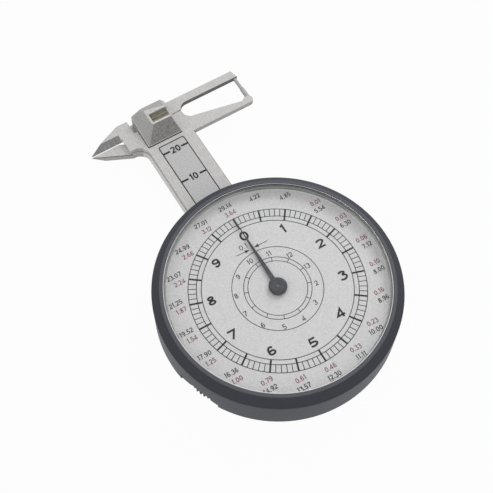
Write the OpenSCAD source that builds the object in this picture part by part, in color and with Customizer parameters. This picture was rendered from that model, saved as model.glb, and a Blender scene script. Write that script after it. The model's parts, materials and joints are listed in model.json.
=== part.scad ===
// Dial gemstone gauge, lying on its back: the dial faces +Z and the jaws point along +Y.
// The origin is on the dial's axis at the back cover's rest face. Lengths are in millimetres.

/* [Case] */
// Outer diameter of the case wall
case_d = 62; // [61:0.5:70]
// Thickness of the case wall
case_wall = 2.4; // [2:0.1:2.8]
// How far the tapered back draws in to the rest face
back_taper_w = 2; // [1:0.1:2.2]
// Height of the tapered back
back_taper_h = 3; // [2:0.1:5]
// Thickness of the back cover
cover_t = 1.2; // [1:0.1:1.6]
// Width of the case rim around the back cover
cover_rim = 1.2; // [0.8:0.1:1.4]
// How far the exit collar stands out of the case wall, to the line where the scale is read
collar_reach = 0.7; // [0.3:0.1:1.5]
// Thickness of the collar beside and above the beam
collar_wall = 2; // [1.5:0.1:3]
// Depth of the flat pocket in the case wall beside the thumb wheel
thumb_flat = 1; // [0.8:0.05:1.2]
// Width of the flat pocket
thumb_pocket_w = 11.5; // [9:0.5:14]

/* [Bezel and dial] */
// How far the bezel's bore stands in from the case's bore
bezel_lip = 0.5; // [0.4:0.1:1]
// Width of the flat land on top of the bezel
bezel_land = 0.8; // [0.6:0.1:1.2]
// Height of the bezel's land above the dial's face
bezel_rise = 3; // [2.5:0.1:3.4]
// Height of the bezel's outer edge above the case rim
bezel_side = 0.8; // [0.7:0.1:1.1]
// Radius of the bezel's outer edge
bezel_edge_r = 0.5; // [0.3:0.1:0.7]
// Height of the case rim above the dial's face
rim_rise = 0.6; // [0.5:0.1:0.9]
// Thickness of the dial plate
dial_t = 0.5; // [0.4:0.1:0.8]
// Thickness of the crystal's top
crystal_t = 0.9; // [0.7:0.1:1.2]
// Thickness of the crystal's side wall at its top
crystal_wall = 0.35; // [0.3:0.05:0.6]
// Width of the crystal's foot on the dial
crystal_foot = 1.1; // [0.8:0.1:1.4]
// Height of the crystal above the bezel's land
crystal_proud = 0.1; // [0:0.05:0.4]
// Radius of the crystal's top edge
crystal_edge_r = 0.25; // [0.1:0.05:0.3]
// Thickness of the crystal's clamped flange
flange_t = 0.45; // [0.3:0.05:0.5]
// Turn of the dial's zero from the bar's line, clockwise seen from the front
dial_turn = 1; // [0:0.5:3]
// Length of the pointer from its axis
pointer_l = 21.9; // [18:0.1:23]
// Length of the hand's taper from its axis
taper_l = 14.5; // [12:0.1:16]
// Thickness of the pointer's hand
hand_t = 0.35; // [0.25:0.05:0.4]
// Width of the hand at the hub
hand_w = 1.5; // [1.2:0.1:2]
// Width of the hand's thin end
hand_end_w = 0.26; // [0.2:0.02:0.4]
// Radius of the pointer's hub
hub_r = 2.3; // [2:0.1:3]
// Height of the pointer's hub
hub_h = 1.3; // [1:0.1:1.5]
// Width of the step and of the sloped edge round the hub
hub_edge = 0.4; // [0.3:0.05:0.5]

/* [Beams] */
// Bar's edge left of the dial's centre line
bar_left = 6.4; // [6.2:0.1:7.4]
// Bar's edge right of the dial's centre line
bar_right = 7.3; // [6.5:0.1:7.4]
// How far the fixed beam stands out from under the slider
beam_step = 0.35; // [0:0.05:0.5]
// Thickness of the fixed beam
beam_t = 2.3; // [2:0.1:3]
// Thickness of the slider plate and of both right arms
plate_t = 1.6; // [1.4:0.1:2.2]
// Height of the fixed beam's guide ribs
rib_h = 0.7; // [0.5:0.1:1]
// Width of the slider's tongue between the ribs
tongue_w = 10.4; // [10.2:0.1:10.8]
// Slider travel, closed to fully open
travel = 22; // [15:0.5:22]
// Distance from the reading line to the blades' measuring edge
jaw_reach = 30.1; // [29.8:0.1:40]
// Width of the printed scale strip
strip_w = 7.9; // [6:0.1:9]
// Thickness of the scale strip
strip_t = 0.15; // [0.1:0.05:0.3]
// How far the fixed beam reaches past the dial's axis
beam_tail = 8; // [5:0.5:12]
// How far the slider's tail reaches past the dial's axis
slider_tail = 2.4; // [2:0.1:3.5]
// Radius of the stud that stops the slider
stud_r = 1; // [0.8:0.1:1.2]

/* [Jaws and head] */
// Distance of the blades' tips from the dial's centre line
blade_tip_x = 20.9; // [18:0.1:25]
// Width of the blades' root beside the bar
blade_root_w = 4.5; // [4:0.1:5]
// Width of the ground facet on each blade
facet_w = 1.7; // [1:0.1:2]
// Thickness of the fixed blade
fixed_blade_t = 1.9; // [1.4:0.1:2.2]
// Distance from the measuring edge to the head's far edge
head_reach = 4.5; // [4.3:0.1:5.5]
// Distance from the measuring edge to the shoulder left of the bar
shoulder_y = 4.6; // [4.3:0.1:5]
// Width of the notch between the slider's blade and the block
notch_w = 0.8; // [0.5:0.1:1.2]
// How far the back of the slider's blade leans in
heel_lean = 0.5; // [0:0.1:0.8]
// Radius of the fillets between the bar and the blades
shoulder_r = 3.6; // [2:0.1:3.8]
// Distance of the right arms' tips from the dial's centre line
arm_tip_x = 26.7; // [23:0.1:32]
// Width of the far arm
far_arm_w = 2.5; // [2:0.1:2.8]
// Radius of the fillet between the bar and the near arm
corner_r = 0.4; // [0.2:0.1:0.6]
// Slant of the far arm's tip
far_tip_slant = 0.7; // [0.3:0.1:1]
// Width of the near arm at its tip
near_arm_w = 2.4; // [2:0.1:2.8]
// Distance from the measuring edge to the near arm's near edge
near_arm_y = 7.5; // [7.2:0.1:8.2]
// Length of the knuckle at the near arm's tip
knuckle_l = 2.2; // [1.9:0.1:2.8]
// Height of the knuckle over the arm beside it
knuckle_h = 0.8; // [0.5:0.1:1]
// Radius of the round end of the gap between the arms
gap_r = 2.55; // [2:0.05:2.6]
// Distance of the pins from the arms' tips
pin_inset = 0.8; // [0.7:0.1:1.5]
// Radius of the thin far pin
far_pin_r = 0.32; // [0.2:0.02:0.5]
// Radius of the near pin
near_pin_r = 0.55; // [0.4:0.05:0.65]
// Distance from the measuring edge to the place where the pins meet
pin_meet = 2; // [1:0.1:2.5]
// Depth of the pins' holes in the arms
pin_seat = 1.2; // [0.8:0.1:1.6]

/* [Block] */
// Distance from the bar's left edge to the block
block_inset_left = 0.4; // [0.3:0.1:0.8]
// Distance from the bar's right edge to the block
block_inset_right = 3; // [2.6:0.1:3.4]
// Distance from the measuring edge to the block's near face
block_near = 6.1; // [5.6:0.1:6.4]
// Distance from the measuring edge to the block's far face
block_far = 3.8; // [3.6:0.1:4.2]
// Height of the block above the slider's face
block_h = 4.4; // [4:0.1:6]
// Height of the block's square foot above the slider's face
block_foot = 0.4; // [0.2:0.1:0.8]
// Height of the block's upright far face above the slider's face
block_upright = 2.2; // [1.5:0.1:2.6]
// How far the block's left face leans in
lean_left = 3.4; // [2.6:0.1:3.6]
// How far the block's right face leans in
lean_right = 1.2; // [0.8:0.1:1.6]
// How far the block's near face leans in
lean_near = 3.4; // [2.6:0.1:3.6]
// How far the block's top stops short of its far face at the left
lean_far = 1.4; // [1:0.1:1.8]
// How far the block's top stops short of its far face at the right
lean_far_right = 2.6; // [2:0.1:2.8]
// Drop of the block's top to its far edge
block_drop = 0.6; // [0.3:0.1:1]
// Width of the accessory slot in the block
slot_w = 2.8; // [2:0.1:3]
// Depth of the accessory slot
slot_depth = 1.4; // [1.2:0.1:2]
// Distance from the dial's centre line to the slot's closed end
slot_end = 2.1; // [1.6:0.1:2.3]
// Width of the block's top before the slot
slot_rim = 0.6; // [0.4:0.1:1]
// Number of ribs on the spring leaf in the slot
leaf_ribs = 3; // [2:1:4]
// Thickness of the spring leaf in the slot
leaf_t = 0.5; // [0.3:0.05:0.6]

/* [Gear train] */
// Teeth of the rack pinion, which turns half as fast as the pointer
rack_pinion_teeth = 20; // [18:1:22]
// Pitch of the pointer rack's teeth
rack_pitch = 1; // [0.9:0.05:1.05]
// Teeth of the transfer gear
transfer_teeth = 40; // [36:1:44]
// Teeth of the centre pinion
centre_teeth = 20; // [18:1:22]
// Module of the transfer gear and the centre pinion
train_module = 0.3; // [0.29:0.01:0.32]
// Module of the thumb rack, the idler and the thumb gear
drive_module = 0.5; // [0.48:0.01:0.52]
// Teeth of the idler gear
idler_teeth = 32; // [30:1:33]
// Teeth of the thumb gear
thumb_teeth = 18; // [17:1:19]
// Width of the thumb rack's back
thumb_rack_back = 1.2; // [1:0.1:1.4]
// Width of the tongue's ledge that carries each rack
ledge_w = 1; // [0.8:0.05:1.1]
// Radius of the rivets that hold the racks
rivet_r = 0.2; // [0.15:0.01:0.25]
// Distance from the racks' backs to the rivets' holes
rivet_edge = 0.08; // [0.05:0.01:0.1]
// Thinning of each tooth, which gives the gears their play
tooth_play = 0.08; // [0.05:0.01:0.12]
// Radius of the gear arbors
arbor_r = 1; // [0.8:0.05:1.1]
// Radius of the arbors' bushes
bush_r = 1.9; // [1.6:0.1:2.2]

/* [Thumb wheel] */
// Radius of the thumb wheel over its ridges
thumb_r = 7; // [6:0.1:8]
// Place of the thumb wheel round the case, from +X towards +Y
thumb_angle = 200; // [196:1:204]
// Thickness of the thumb wheel
thumb_t = 1.8; // [1.4:0.1:2.4]
// How far the thumb wheel stands out of the flat pocket
thumb_proud = 0.3; // [0.2:0.05:0.6]
// Number of ridges round the thumb wheel
thumb_ridges = 40; // [24:1:48]
// Depth of the ridges
ridge_depth = 0.55; // [0.3:0.05:0.7]
// Width of the flange under the idler
stud_flange = 1; // [0.6:0.1:1.4]
// Radius of the thumb wheel's axle and the idler's stud
axle_r = 1.5; // [1.2:0.1:1.7]

/* [Plates and screws] */
// Thickness of the main plate
main_t = 1; // [0.8:0.1:1.4]
// Thickness of the bridge plate
bridge_t = 1; // [0.8:0.1:1.4]
// Thickness of the transfer gear
transfer_t = 1; // [0.8:0.1:1.3]
// Radius of the bridge's pillars
pillar_r = 1.5; // [1.3:0.1:1.7]
// Width of the dial's spacer ring
spacer_w = 1.1; // [0.8:0.1:1.2]
// Radius of the screws' shanks
screw_r = 0.8; // [0.6:0.05:0.9]
// Radius of the screws' heads
head_r = 1.5; // [1.3:0.1:1.6]
// Height of the screws' heads
head_h = 0.6; // [0.4:0.05:0.7]
// Radius of the case's posts and the beam's posts
post_r = 1.9; // [1.7:0.1:2.2]
// Distance of the case's screws from the back cover's edge
post_inset = 2.2; // [2:0.1:2.6]
// Distance of the beam's wings from the case wall
wing_inset = 4.6; // [4:0.1:6]
// Length of the beam's wings
wing_l = 8; // [7.5:0.1:9]

/* [Clearances] */
// Gap between the slider and what guides it
slide_gap = 0.1; // [0.06:0.01:0.15]
// Gap round a turning shaft
run_gap = 0.04; // [0.02:0.01:0.08]
// Gap round a piece that is seated for good
seat_gap = 0.03; // [0.01:0.01:0.05]
// Gap between a moving piece and the wall, plate or gear beside it
free_gap = 0.3; // [0.2:0.05:0.4]

/* [Hidden] */
$fn = 96;

// How far a cut runs past a face, how far joined outlines overlap, and a level that shapes the block
past = 1;
lap = 0.1;
thin = 0.01;

// Shape of the gear teeth
pressure_angle = 20;
dedendum = 1.25;

// Shape of the blades' roots: end of the facets, and the corner cut off the fixed blade
facet_end = 0.3;
root_cut_l = 1.3;
root_cut_w = 0.6;

// Ridges of the thumb wheel: half widths at the foot and the crest, as shares of their pitch
ridge_foot = 0.4;
ridge_crest = 0.16;

// Small steps between neighbouring pieces
hand_lift = 0.2;
split_step = 0.15;
strip_step = 0.05;
blind_end = 0.2;

// Radii of the case
case_r = case_d / 2;
case_in_r = case_r - case_wall;
back_r = case_r - back_taper_w;
cover_r = back_r - cover_rim;
window_r = case_in_r - bezel_lip;
post_ring = cover_r - post_inset;
post_angles = [45, 135, 235, 315];

// Heights, from the rest face up
beam_z = cover_t + slide_gap;
beam_top = beam_z + beam_t;
tongue_z = beam_top + slide_gap;
rib_top = beam_top + rib_h;
thumb_z = cover_t + free_gap;
thumb_top = thumb_z + thumb_t;
plate_z = rib_top + slide_gap;
plate_top = plate_z + plate_t;
main_z = plate_top + free_gap;
main_top = main_z + main_t;
train_z = main_top + free_gap;
train_top = train_z + transfer_t;
bridge_z = train_top + free_gap;
bridge_top = bridge_z + bridge_t;
dial_z = bridge_top + head_h + 4 * free_gap;
dial_top = dial_z + dial_t;
rim_z = dial_top + rim_rise;
flange_z = dial_top + flange_t;
land_z = dial_top + bezel_rise;
crystal_top = land_z + crystal_proud;
crystal_under = crystal_top - crystal_t;
hub_z = dial_top + free_gap;
hand_z = hub_z + hand_lift;

// Places along the beam
reading_y = case_r + collar_reach;
edge_y = reading_y + jaw_reach;
split_y = edge_y + split_step;
head_y = edge_y + head_reach;
block_front = edge_y - block_near;
block_back = edge_y + block_far;
near_edge = edge_y - near_arm_y;
pins_y = edge_y - pin_meet;
pin_x = arm_tip_x - pin_inset;
pin_z = plate_z + plate_t / 2;
strip_end = near_edge + strip_step;
slot_y = block_front + lean_near + slot_rim;
slot_floor = plate_top + block_h - slot_depth;
heel_y = edge_y - shoulder_y;
blade_root_x = bar_left + blade_root_w;
block_left = bar_left - block_inset_left;
block_right = bar_right - block_inset_right;
beam_left = bar_left + beam_step;
fixed_heel_y = heel_y - beam_step;

// Gap between the right arms
far_arm_near = head_y - far_arm_w;
gap_y = far_arm_near - gap_r;
gap_x = bar_right + slide_gap + gap_r;

// Gears that turn the pointer
pinion_module = rack_pitch / PI;
pinion_r = rack_pinion_teeth * pinion_module / 2;
transfer_r = transfer_teeth * train_module / 2;
centre_r = centre_teeth * train_module / 2;
pinion_x = transfer_r + centre_r;
pointer_pitch_x = pinion_x - pinion_r;
shoulder_x = tongue_w / 2 - ledge_w;

// Gears that the thumb turns
drive_pitch = PI * drive_module;
thumb_pitch_x = shoulder_x + thumb_rack_back + dedendum * drive_module;
idler_r = idler_teeth * drive_module / 2;
thumb_gear_r = thumb_teeth * drive_module / 2;
flat_r = case_r - thumb_flat;
thumb_ring = flat_r + thumb_proud - thumb_r;
thumb_c = thumb_ring * [cos(thumb_angle), sin(thumb_angle)];
idler_x = -thumb_pitch_x - idler_r;
idler_rise = sqrt(pow(idler_r + thumb_gear_r, 2) - pow(idler_x - thumb_c.x, 2));
idler_c = [idler_x, thumb_c.y + idler_rise];
gear_z = plate_z + slide_gap / 2;
gear_t = plate_t - slide_gap;

// Meeting angle of the idler and the thumb gear, and the thumb gear's turn that sets tooth in gap
mesh_angle = atan2(thumb_c.y - idler_c.y, thumb_c.x - idler_c.x);
mesh_arc = idler_r * (0 - mesh_angle) * PI / 180 + drive_pitch / 2;
thumb_turn = mesh_angle + 180 - mesh_arc / thumb_gear_r * 180 / PI;

// Slider tail: racks reach past the last tooth in mesh, and the full width starts clear of the gears
idler_tip = idler_r + drive_module;
idler_reach = idler_c.y + sqrt(max(0, pow(idler_tip, 2) - pow(-bar_left - idler_c.x, 2)));
pinion_reach = pinion_r + pinion_module;
wide_y = travel + max(idler_reach, pinion_reach) + free_gap;
rack_end = wide_y - free_gap;
strip_start = wide_y + past;
stud_y = 2;
slot_half = stud_r + slide_gap;
rivet_x = shoulder_x + rivet_edge + seat_gap + rivet_r;
rivet_end = 3;
rivet_ys = [-slider_tail + rivet_end, (rack_end - slider_tail) / 2, rack_end - rivet_end];

// Wings of the fixed beam, and the posts between them and the main plate
beam_post_x = bar_right + free_gap + post_r;
wing_x = beam_post_x + post_r;
wing_y = [case_in_r - wing_inset - wing_l, case_in_r - wing_inset];
beam_post_ys = [wing_y[0] + post_r, wing_y[1] - post_r];
beam_post_at = [for (x = [-beam_post_x, beam_post_x], y = beam_post_ys) [x, y]];

// Bridge over the gears, on three pillars
bridge_rim = 0.5;
bridge_shift = 1;
bridge_x = pinion_x / 2 + bridge_shift;
pillar_ring = pinion_x / 2 + transfer_r + pillar_r;
bridge_r = pillar_ring + pillar_r + bridge_rim;
pillar_at = [for (a = [60, 180, 300]) [bridge_x + pillar_ring * cos(a), pillar_ring * sin(a)]];
bush_at = [[0, 0], [pinion_x, 0]];

// Screws that hold the far head on the fixed beam
head_screw_half = 2;
head_screw_back = 0.65;
head_screw_x = (block_right - block_left) / 2;
head_screw_y = (block_front + block_back) / 2 + head_screw_back;
head_screw_at = [for (s = [-1, 1]) [head_screw_x + s * head_screw_half, head_screw_y]];

// Round bar from one height to another
module rod(at, r, z0, z1) {
    translate([at.x, at.y, z0]) cylinder(r = r, h = z1 - z0);
}

// Rectangle from its corners
module box2(x0, y0, x1, y1) {
    translate([x0, y0]) square([x1 - x0, y1 - y0]);
}

// Flat outline raised from one height to another
module slab(z0, z1) {
    translate([0, 0, z0]) linear_extrude(z1 - z0) children();
}

// Screw along +Z with its head at the lower end, or at the upper end when turned over
module screw_up(at, z_head, z_end) {
    rod(at, head_r, z_head, z_head + head_h);
    rod(at, screw_r, z_head, z_end);
}

module screw_down(at, z_head, z_end) {
    rod(at, head_r, z_head - head_h, z_head);
    rod(at, screw_r, z_end, z_head);
}

// Places of the case's posts
function post_at() = [for (a = post_angles) post_ring * [cos(a), sin(a)]];

// Involute of an angle in degrees, and half of a tooth's angle at a radius
function involute(a) = tan(a) * 180 / PI - a;
function half_tooth(teeth, r, base, at) =
    90 / teeth - tooth_play / 2 / r * 180 / PI
    + involute(pressure_angle) - involute(acos(min(1, base / at)));

// Gear outline with a tooth at the given turn
module gear_outline(teeth, m, turn) {
    r = teeth * m / 2;
    base = r * cos(pressure_angle);
    root = r - dedendum * m;
    first = max(base, root);
    steps = 4;
    flank = [for (i = [0:steps]) first + (r + m - first) * i / steps];
    function at(rho, a) = rho * [cos(a), sin(a)];
    polygon([
        for (k = [0:teeth - 1])
            let (c = turn + k * 360 / teeth, foot = half_tooth(teeth, r, base, first))
                each concat(
                    [at(root, c - foot)],
                    [for (rho = flank) at(rho, c - half_tooth(teeth, r, base, rho))],
                    [for (i = [steps:-1:0]) at(flank[i], c + half_tooth(teeth, r, base, flank[i]))],
                    [at(root, c + foot)]
                )
    ]);
}

// Toothed gear with its bore
module gear(at, teeth, m, turn, bore, z0, t) {
    translate([at.x, at.y, z0]) difference() {
        linear_extrude(t) gear_outline(teeth, m, turn);
        translate([0, 0, -past]) cylinder(r = bore, h = t + 2 * past);
    }
}

// Rack outline: teeth point along +X from its back, with a tooth centre at the given place
module rack_outline(back, pitch_x, m, tooth_at, y0, y1) {
    p = PI * m;
    root = pitch_x - dedendum * m;
    tip = pitch_x + m;
    half = p / 4 - tooth_play / 2;
    wide = half + dedendum * m * tan(pressure_angle);
    slim = half - m * tan(pressure_angle);
    first = ceil((y0 + wide - tooth_at) / p);
    last = floor((y1 - wide - tooth_at) / p);
    polygon(concat(
        [[back, y1], [back, y0], [root, y0]],
        [
            for (k = [first:last])
                let (y = tooth_at + k * p)
                    each [[root, y - wide], [tip, y - slim], [tip, y + slim], [root, y + wide]]
        ],
        [[root, y1]]
    ));
}

// Window in the case wall for both beams
module beam_window() {
    translate([-beam_left - slide_gap, 0, beam_z - slide_gap])
        cube([beam_left + bar_right + 2 * slide_gap, 2 * case_r, plate_top - beam_z + 2 * slide_gap]);
}

module case_body() {
    collar_x = [-beam_left - collar_wall, bar_right + collar_wall];
    color([0.3, 0.31, 0.33]) difference() {
        union() {
            difference() {
                rotate_extrude() polygon([
                    [cover_r, 0], [back_r, 0], [case_r, back_taper_h], [case_r, rim_z],
                    [case_in_r, rim_z], [case_in_r, cover_t], [cover_r, cover_t]
                ]);
                rotate([0, 0, thumb_angle]) translate([flat_r, -thumb_pocket_w / 2, -past])
                    cube([case_r, thumb_pocket_w, main_z + past]);
            }
            for (p = post_at()) rod(p, post_r, cover_t, main_z);
            for (a = post_angles) rotate([0, 0, a])
                translate([post_ring, -post_r / 2, cover_t])
                    cube([case_in_r - post_ring + case_wall / 2, post_r, main_z - free_gap - cover_t]);
            intersection() {
                slab(cover_t, main_top) box2(collar_x[0], 0, collar_x[1], reading_y);
                difference() {
                    rod([0, 0], 2 * case_r, 0, rim_z);
                    rod([0, 0], case_in_r, -past, rim_z + past);
                }
            }
        }
        beam_window();
        rod(thumb_c, thumb_r + free_gap, cover_t - seat_gap, thumb_top + free_gap);
        rod(thumb_c, thumb_gear_r + drive_module + free_gap, cover_t, main_z);
        for (p = post_at()) rod(p, screw_r + seat_gap, -past, main_z + past);
    }
}

module back_cover() {
    color([0.26, 0.27, 0.29]) difference() {
        rod([0, 0], cover_r - seat_gap, 0, cover_t);
        for (p = post_at()) {
            rod(p, screw_r + seat_gap, -past, cover_t + past);
            rod(p, head_r + seat_gap, -past, head_h + seat_gap);
        }
    }
}

module back_screws() {
    color("silver") for (p = post_at()) screw_up(p, seat_gap, main_z / 2);
}

module main_plate() {
    color([0.8, 0.7, 0.4]) difference() {
        rod([0, 0], case_in_r - seat_gap, main_z, main_top);
        for (p = bush_at) rod(p, bush_r + seat_gap, 0, main_top + past);
        for (p = concat(post_at(), beam_post_at)) rod(p, screw_r + seat_gap, 0, main_top + past);
        for (p = [idler_c, thumb_c]) rod(p, axle_r + seat_gap, 0, main_top + past);
    }
}

module plate_screws() {
    color("silver") for (p = post_at()) screw_down(p, main_top + head_h, main_z / 2 + 2 * seat_gap);
}

module dial_spacer() {
    color([0.35, 0.36, 0.38]) difference() {
        rod([0, 0], case_in_r - seat_gap, main_top, dial_z);
        rod([0, 0], case_in_r - spacer_w, 0, dial_z + past);
    }
}

module dial_plate() {
    color([0.85, 0.85, 0.84]) difference() {
        rod([0, 0], case_in_r - seat_gap, dial_z, dial_top);
        rod([0, 0], arbor_r + free_gap, 0, dial_top + past);
    }
}

module crystal() {
    r = window_r - seat_gap;
    e = crystal_edge_r;
    foot_r = r - crystal_foot;
    color([0.85, 0.9, 0.92, 0.4]) rotate_extrude() polygon(concat(
        [[0, crystal_under], [r - crystal_wall, crystal_under], [foot_r, flange_z], [foot_r, dial_top]],
        [[case_in_r - seat_gap, dial_top], [case_in_r - seat_gap, flange_z], [r, flange_z]],
        [for (a = [0:15:90]) [r - e + e * cos(a), crystal_top - e + e * sin(a)]],
        [[0, crystal_top]]
    ));
}

module bezel() {
    e = bezel_edge_r;
    edge_z = rim_z + bezel_side;
    color([0.22, 0.23, 0.26]) rotate_extrude() polygon(concat(
        [[window_r, flange_z], [case_in_r - seat_gap, flange_z]],
        [[case_in_r - seat_gap, rim_z], [case_r, rim_z]],
        [for (a = [0:10:40]) [case_r - e + e * cos(a), edge_z - e + e * sin(a)]],
        [[window_r + bezel_land, land_z], [window_r, land_z]]
    ));
}

module bridge_plate() {
    color([0.8, 0.7, 0.4]) difference() {
        rod([bridge_x, 0], bridge_r, bridge_z, bridge_top);
        for (p = bush_at) rod(p, bush_r + seat_gap, 0, bridge_top + past);
        for (p = pillar_at) rod(p, screw_r + seat_gap, 0, bridge_top + past);
    }
}

module bridge_pillars() {
    color("silver") for (p = pillar_at) difference() {
        rod(p, pillar_r, main_top, bridge_z);
        rod(p, screw_r + seat_gap, main_top + blind_end, bridge_z + past);
    }
}

module bridge_screws() {
    color("silver") for (p = pillar_at) screw_down(p, bridge_top + head_h, main_top + 2 * blind_end);
}

module arbor_bushes() {
    color("goldenrod") for (p = bush_at, z = [[main_z, main_top], [bridge_z, bridge_top]]) difference() {
        rod(p, bush_r, z[0], z[1]);
        rod(p, arbor_r + run_gap, z[0] - past, z[1] + past);
    }
}

// Cut along X that takes a sloping facet off a blade
module facet_cut(y0, z0, y1, z1) {
    translate([-blade_tip_x - past, 0, 0]) rotate([90, 0, 90])
        linear_extrude(blade_tip_x + past - blade_root_x - facet_end)
            polygon([[y0, z0], [y1, z1], [y0, z1]]);
}

// Concave fillet in the corner left of the bar
module shoulder_fillet(x, y) {
    difference() {
        box2(x - shoulder_r, y - shoulder_r, x + lap, y);
        translate([x - shoulder_r, y - shoulder_r]) circle(r = shoulder_r);
    }
}

module fixed_beam() {
    inner = tongue_w / 2 + slide_gap;
    blade_z = rib_top - fixed_blade_t;
    color([0.8, 0.79, 0.76]) difference() {
        union() {
            slab(beam_z, beam_top) {
                box2(-beam_left, -beam_tail, bar_right, head_y - slide_gap);
                box2(-wing_x, wing_y[0], wing_x, wing_y[1]);
            }
            slab(beam_z, rib_top) {
                box2(-beam_left, -beam_tail, -inner, block_front - slide_gap);
                box2(inner, -beam_tail, bar_right, block_front - slide_gap);
            }
            difference() {
                slab(blade_z, rib_top) {
                    polygon([
                        [-blade_tip_x, edge_y], [-beam_left - shoulder_r, fixed_heel_y],
                        [-beam_left + lap, fixed_heel_y], [-beam_left + lap, edge_y - 2 * root_cut_w],
                        [-blade_root_x, edge_y - root_cut_w],
                        [-blade_root_x - root_cut_l, edge_y]
                    ]);
                    shoulder_fillet(-beam_left, fixed_heel_y + lap);
                }
                facet_cut(edge_y, rib_top, edge_y - facet_w, blade_z - thin);
            }
        }
        rod([0, stud_y], stud_r + seat_gap, 0, plate_top);
        for (p = beam_post_at) {
            rod(p, screw_r + seat_gap, 0, plate_top);
            rod(p, head_r + seat_gap, 0, beam_z + head_h + seat_gap);
        }
        for (p = head_screw_at) {
            rod(p, screw_r + seat_gap, 0, plate_top);
            rod(p, head_r + seat_gap, 0, beam_z + head_h + seat_gap);
        }
    }
}

module beam_posts() {
    color("silver") for (p = beam_post_at) difference() {
        rod(p, post_r, beam_top, main_z);
        rod(p, screw_r + seat_gap, 0, main_z + past);
    }
}

module beam_screws() {
    color("silver") for (p = beam_post_at) screw_up(p, beam_z + seat_gap, main_top - seat_gap);
}

module stop_stud() {
    color("silver") rod([0, stud_y], stud_r, beam_z, plate_top - slide_gap);
}

// Block with leaning faces: square foot, upright far face, and a top that slopes down at the far edge
module block() {
    x = [-block_left, block_right];
    y = [block_front, block_back];
    top = plate_top + block_h;
    module level(z, x0, x1, y0, y1) {
        translate([x0, y0, z - thin]) cube([x1 - x0, y1 - y0, thin]);
    }
    hull() {
        level(beam_top + thin, x[0], x[1], y[0], y[1]);
        level(plate_top + block_foot, x[0], x[1], y[0], y[1]);
        level(plate_top + block_upright, x[0], x[1], y[1] - thin, y[1]);
        level(top - block_drop, x[0] + lean_left - block_foot, x[1] - lean_right, y[1] - thin, y[1]);
        level(top, x[0] + lean_left, x[0] + lean_left + thin, y[0] + lean_near, y[1] - lean_far);
        level(top, x[1] - lean_right - thin, x[1] - lean_right, y[0] + lean_near, y[1] - lean_far_right);
    }
}

module arm_gap() {
    translate([gap_x, gap_y]) circle(r = gap_r);
}

module far_head() {
    color([0.8, 0.79, 0.76]) difference() {
        union() {
            block();
            slab(plate_z, plate_top) difference() {
                polygon([
                    [0, split_y + slide_gap], [gap_x, split_y + slide_gap], [gap_x, far_arm_near],
                    [arm_tip_x, far_arm_near], [arm_tip_x - far_tip_slant, head_y], [0, head_y]
                ]);
                arm_gap();
            }
        }
        translate([-slot_end, slot_y, slot_floor])
            cube([slot_end + block_right + past, slot_w, slot_depth + past]);
        translate([pin_x, far_arm_near - past, pin_z]) rotate([-90, 0, 0])
            cylinder(r = far_pin_r + seat_gap, h = pin_seat + past);
        for (p = head_screw_at) rod(p, screw_r + seat_gap, 0, plate_top + 2 * blind_end);
    }
}

module head_screws() {
    color("silver") for (p = head_screw_at) screw_up(p, beam_z + seat_gap, plate_top + blind_end);
}

// Spring leaf on the slot's floor, with ribs along the slot
module socket_spring() {
    l = slot_end + block_right - lean_right;
    w = slot_w - 2 * seat_gap;
    color([0.45, 0.42, 0.3]) translate([-slot_end + seat_gap, slot_y + seat_gap, slot_floor]) {
        cube([l, w, leaf_t]);
        for (k = [0:leaf_ribs - 1])
            translate([0, w * (k + 0.5) / leaf_ribs, leaf_t]) rotate([0, 90, 0])
                cylinder(r = w / leaf_ribs / 4, h = l);
    }
}

module far_pin() {
    color("gainsboro") translate([pin_x, pins_y + slide_gap / 2, pin_z]) rotate([-90, 0, 0])
        cylinder(r = far_pin_r, h = far_arm_near - pins_y + pin_seat - slide_gap);
}

module idler_stud() {
    color("silver") {
        rod(idler_c, axle_r, gear_z - slide_gap, main_top);
        rod(idler_c, axle_r + stud_flange, gear_z - slide_gap - head_h, gear_z - slide_gap);
    }
}

module thumb_axle() {
    color("silver") rod(thumb_c, axle_r, cover_t, main_top);
}

// Slider plate seen from above, without its tail
module slider_outline() {
    tip_r = near_arm_w / 2;
    knuckle_y = near_edge + near_arm_w;
    notch_x = bar_left + notch_w;
    difference() {
        union() {
            box2(-bar_left, wide_y, bar_right, split_y);
            box2(-blade_root_x, heel_y, -bar_left + lap, edge_y + lap);
            polygon([
                [-blade_tip_x, edge_y], [-blade_root_x + heel_lean, head_y], [-notch_x, head_y],
                [-notch_x, edge_y]
            ]);
            shoulder_fillet(-bar_left, heel_y + lap);
            polygon([
                [bar_right - lap, near_edge], [arm_tip_x - tip_r, near_edge], [arm_tip_x - tip_r, knuckle_y],
                [arm_tip_x - knuckle_l, knuckle_y - lap],
                [arm_tip_x - knuckle_l - knuckle_h, knuckle_y - knuckle_h],
                [gap_x, gap_y - gap_r], [gap_x, split_y], [bar_right - lap, split_y]
            ]);
            translate([arm_tip_x - tip_r, near_edge + tip_r]) circle(r = tip_r);
            difference() {
                box2(bar_right - lap, near_edge - corner_r, bar_right + corner_r, near_edge + lap);
                translate([bar_right + corner_r, near_edge - corner_r]) circle(r = corner_r);
            }
        }
        arm_gap();
        box2(-block_left - slide_gap, block_front - slide_gap, block_right + slide_gap, head_y + past);
        box2(-notch_x, split_y, block_right, head_y + past);
    }
}

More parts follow.
